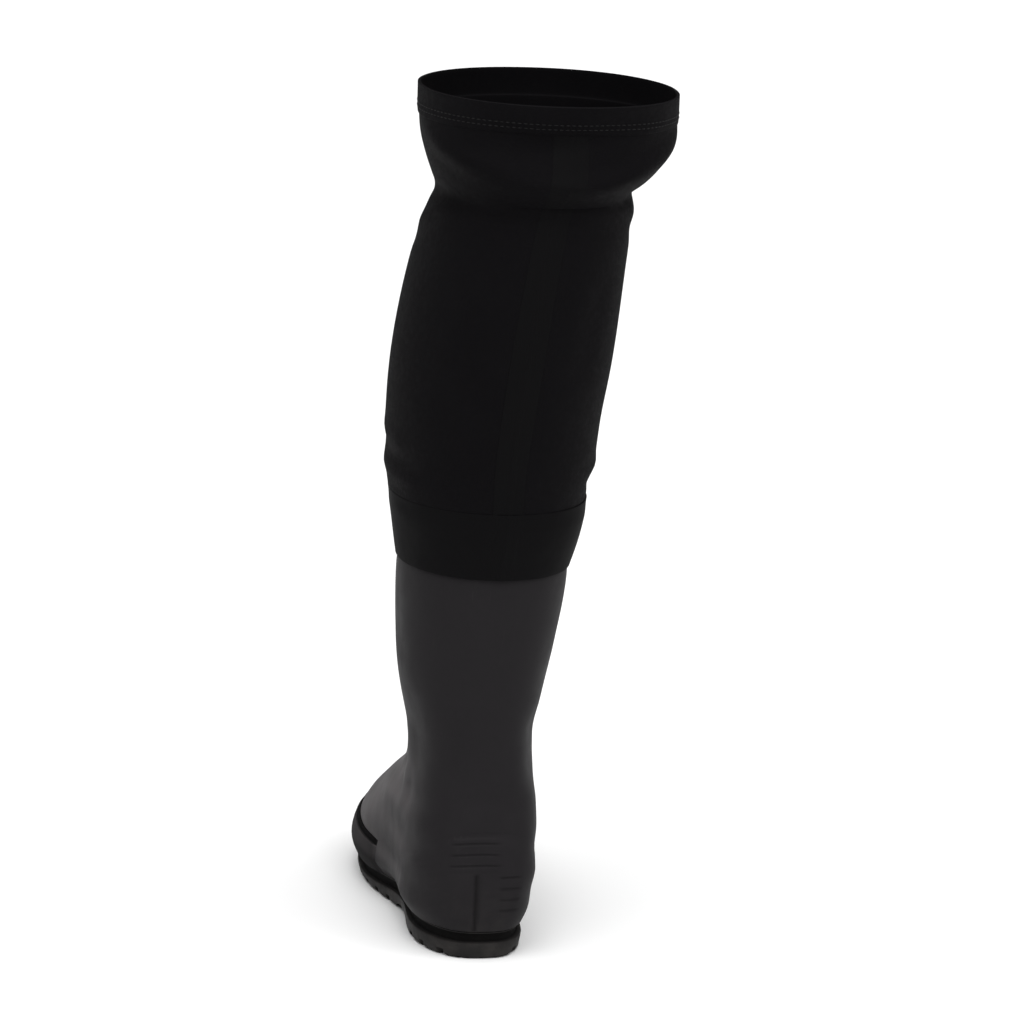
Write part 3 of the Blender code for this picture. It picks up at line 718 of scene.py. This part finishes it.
def make_sole_rubber(groups):
    material, tree, shader = new_material("sole_rubber", specular=0.10)
    grain = use_group(tree, groups["grain"], {"Grain": 700.0, "Ripple": 140.0})
    marks = use_group(tree, groups["marks"], {"Amount": 0.9})
    dust = use_group(tree, groups["dust"], {"Reach": 0.030})
    colour = blend(tree, grain["Mottle"], SOLE_DARK, SOLE_LIGHT)
    colour = lay_over(tree, colour, SOLE_SCUFF, marks["Scuff"], 0.5)
    colour = lay_over(tree, colour, SOLE_DUST, dust["Dust"], 0.16)
    rough = span(tree, grain["Mottle"], 0.3, 0.7, 0.50, 0.66)
    # Painted shade in the groove under the upper
    link_painted_shade(tree, shader, colour, SOLE_PAINTED_SHADE, rough)
    link_bump(tree, shader, grain["Height"], strength=0.5, distance=0.0006)
    return material


def make_leg_fabric(groups):
    material, tree, shader = new_material("leg_fabric", specular=0.05)
    knit = use_group(tree, groups["knit"], {"Column": 0.0013, "Row": 0.0010})
    grain = use_group(tree, groups["grain"], {"Grain": 1400.0, "Ripple": 70.0})
    fleck = span(tree, knit["Fluff"], 0.45, 0.80)
    colour = blend(tree, grain["Mottle"], LEG_DARK, LEG_LIGHT)
    colour = lay_over(tree, colour, LEG_FLECK, fleck, 0.30)
    tree.links.new(colour, shader.inputs["Base Color"])
    tree.links.new(span(tree, knit["Fluff"], 0.3, 0.7, 0.72, 0.86), shader.inputs["Roughness"])
    shader.inputs["Sheen Weight"].default_value = 0.002
    shader.inputs["Sheen Roughness"].default_value = 0.45
    link_bump(tree, shader, knit["Height"], strength=0.35, distance=0.0002)
    return material


def make_band_fabric(groups):
    material, tree, shader = new_material("band_fabric", specular=0.05)
    grain = use_group(tree, groups["grain"], {"Grain": 1500.0, "Ripple": 110.0})
    marks = use_group(tree, groups["marks"], {"Amount": 0.35})
    colour = blend(tree, grain["Mottle"], BAND_DARK, BAND_LIGHT)
    colour = lay_over(tree, colour, BAND_SCUFF, marks["Scuff"], 0.25)
    tree.links.new(colour, shader.inputs["Base Color"])
    tree.links.new(span(tree, grain["Mottle"], 0.3, 0.7, 0.68, 0.80), shader.inputs["Roughness"])
    link_bump(tree, shader, grain["Height"], strength=0.25, distance=0.0004)
    return material


def make_insole_felt():
    material, tree, shader = new_material("insole_felt", specular=0.1)
    place = stretched(tree, object_place(tree), (900, 260, 600))
    fibres = noise(tree, place, 1.0, detail=6.0, roughness=0.75)
    colour = blend(tree, span(tree, fibres, 0.3, 0.7), FELT_DARK, FELT_LIGHT)
    tree.links.new(colour, shader.inputs["Base Color"])
    tree.links.new(span(tree, fibres, 0.3, 0.7, 0.90, 1.0), shader.inputs["Roughness"])
    link_bump(tree, shader, fibres, strength=0.9, distance=0.0006)
    return material


def make_thread():
    material, tree, shader = new_material("hem_thread", specular=0.15)
    twist = noise(tree, stretched(tree, object_place(tree), (1800, 1800, 2600)), 1.0)
    colour = blend(tree, twist, THREAD_DARK, THREAD_LIGHT)
    tree.links.new(colour, shader.inputs["Base Color"])
    tree.links.new(span(tree, twist, 0.3, 0.7, 0.45, 0.65), shader.inputs["Roughness"])
    link_bump(tree, shader, twist, strength=0.5, distance=0.0002)
    return material


# Pieces of the boot

def make_shell(material):
    shell = copy_node("boot_upper", "boot_shell")
    smooth_through(shell, levels=2)
    press_creases(shell, SHAFT_CREASES)
    feather = feather_line(shell)
    round_edges(shell, SHELL_EDGE)
    dress(shell, "boot_upper", material)
    return shell, feather


def heel_profile(points, edge):
    """Height of the heel panel's face, thin at its border, with its ribs and lines, and their painted
    shade.
    """
    angle = np.arctan2(points[:, 0] - HEEL_X, -(points[:, 1] - HEEL_Y - HEEL_RADIUS))
    across = angle * HEEL_RADIUS
    z = points[:, 2]
    height = PANEL_SKIN + PANEL_THICK * ease(edge, 0.0, PANEL_FEATHER)
    level = z + RIB_DROOP * (across / RIB_OUTER) ** 2
    low, top = RIB_LOW - RIB_MARGIN, RIB_LOW + (RIB_GROOVES - 1) * RIB_PITCH + RIB_MARGIN
    ends = between(across, RIB_OUTER, RIB_INNER, RIB_FADE)
    ribs = ends * between(level, low, top, RIB_EDGE)
    grooves = np.zeros(len(points))
    for groove in range(RIB_GROOVES):
        grooves += ends * stripe(level - RIB_LOW - groove * RIB_PITCH, RIB_GROOVE_HALF)
    height += RIB_RISE * (ribs - grooves)
    line = stripe(across - CENTRE_LINE_AT, CENTRE_LINE_HALF)
    line *= 1 - ease(z, CENTRE_LINE_TOP - CENTRE_LINE_FADE, CENTRE_LINE_TOP)
    side = between(across, SIDE_MARK_NEAR, SIDE_MARK_FAR, SIDE_MARK_FADE)
    marks = np.zeros(len(points))
    for mark in range(SIDE_MARK_COUNT):
        marks += side * stripe(z - SIDE_MARK_LOW - mark * SIDE_MARK_PITCH, SIDE_MARK_HALF)
    height -= CENTRE_LINE_DEPTH * line + SIDE_MARK_DEPTH * marks
    # Painted shade in the rib grooves, the centre line and the side marks
    shade = RIB_SHADE * grooves + CENTRE_LINE_SHADE * line + SIDE_MARK_SHADE * marks
    return height, np.clip(shade, 0.0, 1.0)


def make_heel_panel(shell_surface, material):
    panel = copy_node("heel_counter", "heel_panel")
    smooth_through(panel, levels=3)
    base, normal = nearest_on(shell_surface, points_of(panel))
    border = tree_of([point for point in sharp_points(panel) if point.z > PANEL_BORDER_LOW])
    lay_on(panel, base, normal, heel_profile, border)
    dress(panel, "heel_counter", material)


def make_toe_rand(shell_surface, material):
    rand = copy_node("toe_guard", "toe_rand")
    smooth_through(rand, levels=3)
    tops = [face for face in rand.data.polygons if face.normal.z > RAND_TOP_FACING]
    top = {index for face in tops for index in face.vertices}
    base, normal = nearest_on(shell_surface, points_of(rand))
    top_edge = tree_of([base[index] for index in top])
    rear = base[:, 1].min()

    def rand_profile(points, edge):
        """Height of the rand's face, with a groove along its top edge and a soft border, and its painted
        shade: dark in the groove, and less dark over the rest of the rand but its rear end.
        """
        from_top = np.array([top_edge.find(point)[2] for point in points])
        groove = 1 - ease(from_top, *RAND_WALL)
        height = RAND_THICK + (RAND_GROOVE - RAND_THICK) * groove
        height *= ease(edge, -RAND_SOFT, RAND_SOFT)
        behind = 1 - ease(points[:, 1] - rear, 0.0, RAND_END)
        height += PANEL_SKIN - (height + RAND_SINK) * behind
        # Painted shade: dark in the groove, weaker over the rest of the rand but its rear end
        return height, np.maximum(groove, RAND_SHADE * (1 - behind))

    lay_on(rand, base, normal, rand_profile, tree_of(sharp_points(rand)))
    dress(rand, "toe_guard", material)


def make_insole(material):
    insole = copy_node("insole", "felt_insole")
    smooth_through(insole, levels=2)
    round_edges(insole, INSOLE_EDGE)
    dress(insole, "insole", material)


def feather_line(shell):
    """The upper's lower outside edge as a loop of points, from the heel's back by the outer side."""
    mesh = bmesh.new()
    mesh.from_mesh(shell.data)
    sharp = [edge for edge in mesh.edges if edge.calc_face_angle() > SHARP]
    low = {edge for edge in sharp if edge.verts[0].co.z < FEATHER_BELOW}
    loops = []
    while low:
        first = next(iter(low))
        loop = [first.verts[0]]
        step = first
        while step:
            low.discard(step)
            loop.append(step.other_vert(loop[-1]))
            step = next((edge for edge in loop[-1].link_edges if edge in low), None)
        loops.append(np.array([vertex.co for vertex in loop[:-1]]))
    mesh.free()
    outer = max(loops, key=lambda loop: np.ptp(loop[:, 0]))
    outer = np.roll(outer, -int(outer[:, 1].argmin()), axis=0)
    return outer if outer[len(outer) // 4, 0] < HEEL_X else np.roll(outer[::-1], 1, axis=0)


def floor_rise(y):
    """Height of the tread's ground line at a distance from the heel's back."""
    share = np.maximum(0.0, (y - SPRING_START) / (FOOT_LENGTH - SPRING_START))
    return TOE_SPRING * share * share


def sole_loop(feather, step):
    """One edge line of the sole, as far outside the feather line and as high as its step says."""
    tangent = np.roll(feather, -1, axis=0) - np.roll(feather, 1, axis=0)
    outward = np.stack([-tangent[:, 1], tangent[:, 0], np.zeros(len(feather))], axis=1)
    loop = feather + step.spread * outward / np.linalg.norm(outward, axis=1, keepdims=True)
    if step.under_upper is None:
        loop[:, 2] = floor_rise(loop[:, 1] - HEEL_Y) + step.over_floor
    else:
        loop[:, 2] = feather[:, 2] - step.under_upper
    return loop


def extrude_loop(piece, before, after):
    """Extrudes the selected edge loop and moves its copy from one loop's places to the next one's."""
    bpy.ops.object.mode_set(mode="EDIT")
    bpy.ops.mesh.extrude_edges_move()
    bpy.ops.object.mode_set(mode="OBJECT")
    places = tree_of(before)
    points = points_of(piece)
    for vertex in piece.data.vertices:
        if vertex.select:
            points[vertex.index] = after[places.find(vertex.co)[1]]
    set_points(piece, points)


def close_loop(piece, loop):
    """Closes a loop with strips across it, from its outer to its inner side, and a triangle at each end."""
    places = tree_of(loop)
    count = len(loop)
    number = np.full(len(piece.data.vertices), -1)
    for vertex in piece.data.vertices:
        _, index, distance = places.find(vertex.co)
        if distance < WELD:
            number[vertex.index] = index
    ends = np.empty(2 * len(piece.data.edges), dtype=int)
    piece.data.edges.foreach_get("vertices", ends)
    first, second = number[ends[::2]], number[ends[1::2]]
    on_loop = (first >= 0) & (second >= 0)
    tips = (0, count // 2)
    select_parts(piece, edges=on_loop & ~np.isin(first, tips) & ~np.isin(second, tips))
    bpy.ops.mesh.bridge_edge_loops()
    bpy.ops.object.mode_set(mode="OBJECT")
    for tip in tips:
        corner = np.isin(number, [(tip - 1) % count, tip, (tip + 1) % count])
        select_parts(piece, vertices=corner)
        bpy.ops.mesh.edge_face_add()
        bpy.ops.object.mode_set(mode="OBJECT")


def add_cutter(cutters, y_from, y_to, top, half_span, slant=0.0, floor=0.0):
    """A box across the sole from below the floor to a height, its middle drawn to the toe by a slant."""
    bpy.ops.object.select_all(action="DESELECT")
    bpy.ops.mesh.primitive_cube_add(size=1.0)
    cutter = bpy.context.active_object
    bpy.ops.object.mode_set(mode="EDIT")
    bpy.ops.mesh.subdivide(number_cuts=CUTTER_CUTS)
    bpy.ops.object.mode_set(mode="OBJECT")
    share = points_of(cutter) + 0.5
    x = half_span * (2 * share[:, 0] - 1)
    y = y_from + share[:, 1] * (y_to - y_from)
    low = floor - CUTTER_BELOW
    z = low + share[:, 2] * (top(y) - low)
    set_points(cutter, np.stack([HEEL_X + x, HEEL_Y + y - slant * np.abs(x) / half_span, z], axis=1))
    for collection in list(cutter.users_collection):
        collection.objects.unlink(cutter)
    cutters.objects.link(cutter)


def add_channel(cutters, y, width, depth):
    lift = float(floor_rise(y))
    half = width / 2
    add_cutter(cutters, y - half, y + half, lambda _: lift + depth, CHANNEL_SPAN, CHANNEL_SLANT, lift)


def arch_roof(y):
    """Height of the arch at a distance from the heel's back."""
    return np.interp(y, ARCH_Y, ARCH_Z) + ARCH_CLEAR


def cut_tread(sole):
    """Cuts the V channels, their fine sipes, the centre channel and the arch."""
    cutters = bpy.data.collections.new("tread_cutters")
    bpy.context.scene.collection.children.link(cutters)
    for y in CHANNELS:
        add_channel(cutters, y, CHANNEL_WIDTH, TREAD_DEPTH)
    for y in SIPES:
        add_channel(cutters, y, SIPE_WIDTH, SIPE_DEPTH)
    rear, fore = CENTRE_CHANNEL
    add_cutter(cutters, rear, fore, lambda y: floor_rise(y) + TREAD_DEPTH, CHANNEL_WIDTH / 2)
    add_cutter(cutters, ARCH_Y[0], ARCH_Y[-1], arch_roof, CHANNEL_SPAN)
    pick_only(sole)
    modifier = sole.modifiers.new("tread", "BOOLEAN")
    modifier.operation = "DIFFERENCE"
    modifier.operand_type = "COLLECTION"
    modifier.collection = cutters
    bpy.ops.object.modifier_apply(modifier="tread")
    for cutter in list(cutters.objects):
        bpy.data.meshes.remove(cutter.data)
    bpy.data.collections.remove(cutters)


def shade_groove(sole, feather):
    """Marks the points inside the groove under the upper for painted shade."""
    places = tree_of(feather * (1, 1, 0))
    points = points_of(sole)
    painted_shade = np.zeros(len(points), dtype=np.float32)
    for index, point in enumerate(points):
        _, nearest, distance = places.find(point * (1, 1, 0))
        under = feather[nearest, 2] - point[2]
        inside = distance > GROOVE_INSIDE
        painted_shade[index] = GROOVE_SHADE if inside and GROOVE_TOP < under < GROOVE_BOTTOM else 0.0
    layer = sole.data.attributes.new("painted_shade", "FLOAT", "POINT")
    layer.data.foreach_set("value", painted_shade)


def make_sole(feather, material):
    loops = [sole_loop(feather, step) for step in SOLE_STEPS.values()]
    bpy.ops.object.select_all(action="DESELECT")
    bpy.ops.mesh.primitive_circle_add(vertices=len(feather))
    sole = bpy.context.active_object
    sole.name = "cleated_sole"
    sole.data.name = "cleated_sole"
    set_points(sole, loops[0])
    select_parts(sole, edges=np.ones(len(feather), dtype=bool))
    bpy.ops.object.mode_set(mode="OBJECT")
    for before, after in zip(loops, loops[1:]):
        extrude_loop(sole, before, after)
    close_loop(sole, loops[0])
    close_loop(sole, loops[-1])
    pick_only(sole)
    bpy.ops.object.mode_set(mode="EDIT")
    bpy.ops.mesh.select_all(action="SELECT")
    bpy.ops.mesh.normals_make_consistent(inside=False)
    bpy.ops.object.mode_set(mode="OBJECT")
    cut_tread(sole)
    round_edges(sole, SOLE_EDGE)
    shade_groove(sole, feather)
    dress(sole, "outsole", material)


# Pieces of the leg

def map_cloth(piece):
    """A cloth map in metres: round the leg from its front, and up."""
    points = points_of(piece)
    turn, reach, _ = round_the_axis(points)
    turn = np.radians(turn)
    mean_reach = reach.mean()
    corners = np.empty(len(piece.data.loops), dtype=int)
    piece.data.loops.foreach_get("vertex_index", corners)
    angle = turn[corners]
    for face in piece.data.polygons:
        own = slice(face.loop_start, face.loop_start + face.loop_total)
        if np.ptp(angle[own]) > math.pi:
            angle[own] = np.where(angle[own] < 0, angle[own] + 2 * math.pi, angle[own])
    layer = piece.data.uv_layers.new(name="cloth")
    layer.data.foreach_set("uv", np.stack([angle * mean_reach, points[corners, 2]], axis=1).ravel())


def make_leg(material):
    leg = copy_node("leg", "fabric_leg")
    smooth_through(leg, levels=2)
    add_rings(leg)
    press_creases(leg, LEG_CREASES)
    round_edges(leg, LEG_EDGE)
    map_cloth(leg)
    dress(leg, "leg", material)
    return leg


def seam_ridge(across):
    """Rise of the seam's ridge at a distance from the middle of the leg's back."""
    return SEAM_RISE * np.exp(-((across / SEAM_HALF) ** 2))


def make_band(material):
    """The sealing band, its top edge pressed onto the leg and its lap raised at the back."""
    band = copy_node("joint_band", "sealing_band")
    smooth_through(band, levels=3)
    points = points_of(band)
    turn, reach, outward = round_the_axis(points)
    across = np.radians(turn) * reach
    rise = -BAND_PRESS * ease(points[:, 2], BAND_HIGH - BAND_PRESS_REACH, BAND_HIGH)
    rise += LAP_RISE * (1 - ease(np.abs(across), LAP_HALF - LAP_FADE, LAP_HALF))
    rise += seam_ridge(across)
    set_points(band, points + outward * rise[:, None])
    round_edges(band, BAND_EDGE)
    dress(band, "joint_band", material)


def tape_profile(points, edge):
    """Height of the seam tape's face: thin at its border, with the seam's ridge down its middle."""
    turn, reach, _ = round_the_axis(points)
    across = np.radians(turn) * reach
    height = TAPE_EDGE + (TAPE_THICK - TAPE_EDGE) * ease(edge, 0.0, TAPE_FEATHER)
    return height + seam_ridge(across), np.zeros(len(points))


def make_tape(leg_surface, material):
    """The seam tape, drawn out to run from under the band's edge to the hem."""
    tape = copy_node("back_seam_tape", "seam_tape")
    low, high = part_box("back_seam_tape")[0].z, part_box("back_seam_tape")[1].z
    points = points_of(tape)
    share = (points[:, 2] - low) / (high - low)
    up = HEM_LINE - TAPE_UNDER_HEM - high
    down = low - BAND_HIGH + TAPE_UNDER_BAND
    points[:, 2] += share**TAPE_DRAW * up - (1 - share) ** TAPE_DRAW * down
    set_points(tape, points)
    smooth_through(tape, levels=3)
    base, normal = level_on(leg_surface, points_of(tape))
    lay_on(tape, base, normal, tape_profile, tree_of(sharp_points(tape)))
    dress(tape, "back_seam_tape", material)


def make_stitches(leg_surface, material):
    """Two rows of stitches round the hem, copied from one small rounded stitch."""
    bpy.ops.object.select_all(action="DESELECT")
    bpy.ops.mesh.primitive_uv_sphere_add(segments=8, ring_count=5, radius=0.5)
    stitch = bpy.context.active_object
    shape = points_of(stitch) * (STITCH_LENGTH, STITCH_WIDTH, STITCH_WIDTH)
    faces = [list(face.vertices) for face in stitch.data.polygons]
    bpy.data.meshes.remove(stitch.data)
    count = int(2 * math.pi * HEM_REACH / STITCH_PITCH)
    points = []
    polygons = []
    for row in STITCH_ROWS:
        height = HEM_LINE + row
        x, y = axis_at(np.array([height]))
        middle = Vector((x[0], y[0], height))
        for number in range(count):
            angle = 2 * math.pi * number / count
            outward = Vector((-math.sin(angle), -math.cos(angle), 0))
            place, normal, _, _ = leg_surface.ray_cast(middle + SEARCH_REACH * outward, -outward)
            across = Vector((0, 0, 1)).cross(normal).normalized()
            turn = np.array([across, normal.cross(across), normal])
            start = len(points)
            points += [Vector(point) + place for point in shape @ turn]
            polygons += [[start + index for index in face] for face in faces]
    mesh = bpy.data.meshes.new("hem_stitches")
    mesh.from_pydata(points, [], polygons)
    mesh.shade_smooth()
    stitches = bpy.data.objects.new("hem_stitches", mesh)
    bpy.context.scene.collection.objects.link(stitches)
    dress(stitches, None, material)


# Stage, light and camera

def add_floor():
    bpy.ops.object.select_all(action="DESELECT")
    bpy.ops.mesh.primitive_plane_add(size=FLOOR_SIZE)
    floor = bpy.context.active_object
    floor.name = "studio_floor"
    material, _, shader = new_material("floor_paper", specular=0.1)
    shader.inputs["Base Color"].default_value = FLOOR_PAPER
    shader.inputs["Roughness"].default_value = 0.9
    floor.data.materials.append(material)


def add_softbox(name, place, aim, size, power):
    bpy.ops.object.light_add(type="AREA", location=place)
    lamp = bpy.context.active_object
    lamp.name = name
    lamp.data.shape = "RECTANGLE"
    lamp.data.size, lamp.data.size_y = size
    lamp.data.energy = power
    lamp.rotation_euler = (Vector(aim) - Vector(place)).to_track_quat("-Z", "Y").to_euler()


def add_lights():
    bpy.ops.object.light_add(type="SUN", rotation=SKY_TURN)
    sky = bpy.context.active_object
    sky.name = "soft_overhead"
    sky.data.energy = SKY_POWER
    sky.data.angle = SKY_SPREAD
    add_softbox("left_softbox", place=(-0.6, -0.8, 2.3), aim=(-0.06, 0.0, 0.08), size=(0.8, 0.8), power=6)
    add_softbox("right_softbox", place=(1.2, -0.8, 1.6), aim=(0, -0.05, 0.14), size=(0.6, 0.8), power=4)
    world = bpy.data.worlds.new("studio_air")
    world.use_nodes = True
    air = world.node_tree.nodes["Background"]
    air.inputs["Color"].default_value = (1, 1, 1, 1)
    air.inputs["Strength"].default_value = AIR_STRENGTH
    bpy.context.scene.world = world
    bpy.context.scene.view_settings.view_transform = "Standard"


def add_camera():
    back = Vector((
        math.sin(CAMERA_AZIMUTH) * math.cos(CAMERA_ELEVATION),
        -math.cos(CAMERA_AZIMUTH) * math.cos(CAMERA_ELEVATION),
        math.sin(CAMERA_ELEVATION),
    ))
    bpy.ops.object.camera_add(location=AIM + back * CAMERA_DISTANCE)
    camera = bpy.context.active_object
    camera.name = "photo_camera"
    camera.data.lens = CAMERA_LENS
    level = (-back).to_track_quat("-Z", "Y").to_matrix()
    camera.rotation_euler = (level @ Matrix.Rotation(CAMERA_ROLL, 3, "Z")).to_euler()
    bpy.context.scene.camera = camera


def make_all():
    groups = {
        "grain": make_moulded_grain(),
        "marks": make_handling_marks(),
        "dust": make_dust_and_top_light(),
        "knit": make_knit_face(),
    }
    boot_rubber = make_boot_rubber(groups)
    band_fabric = make_band_fabric(groups)
    shell, feather = make_shell(boot_rubber)
    shell_surface = surface_of(shell)
    make_heel_panel(shell_surface, boot_rubber)
    make_toe_rand(shell_surface, boot_rubber)
    make_sole(feather, make_sole_rubber(groups))
    make_insole(make_insole_felt())
    leg = make_leg(make_leg_fabric(groups))
    leg_surface = surface_of(leg)
    make_band(band_fabric)
    make_tape(leg_surface, band_fabric)
    make_stitches(leg_surface, make_thread())
    add_floor()
    add_lights()
    add_camera()


make_all()
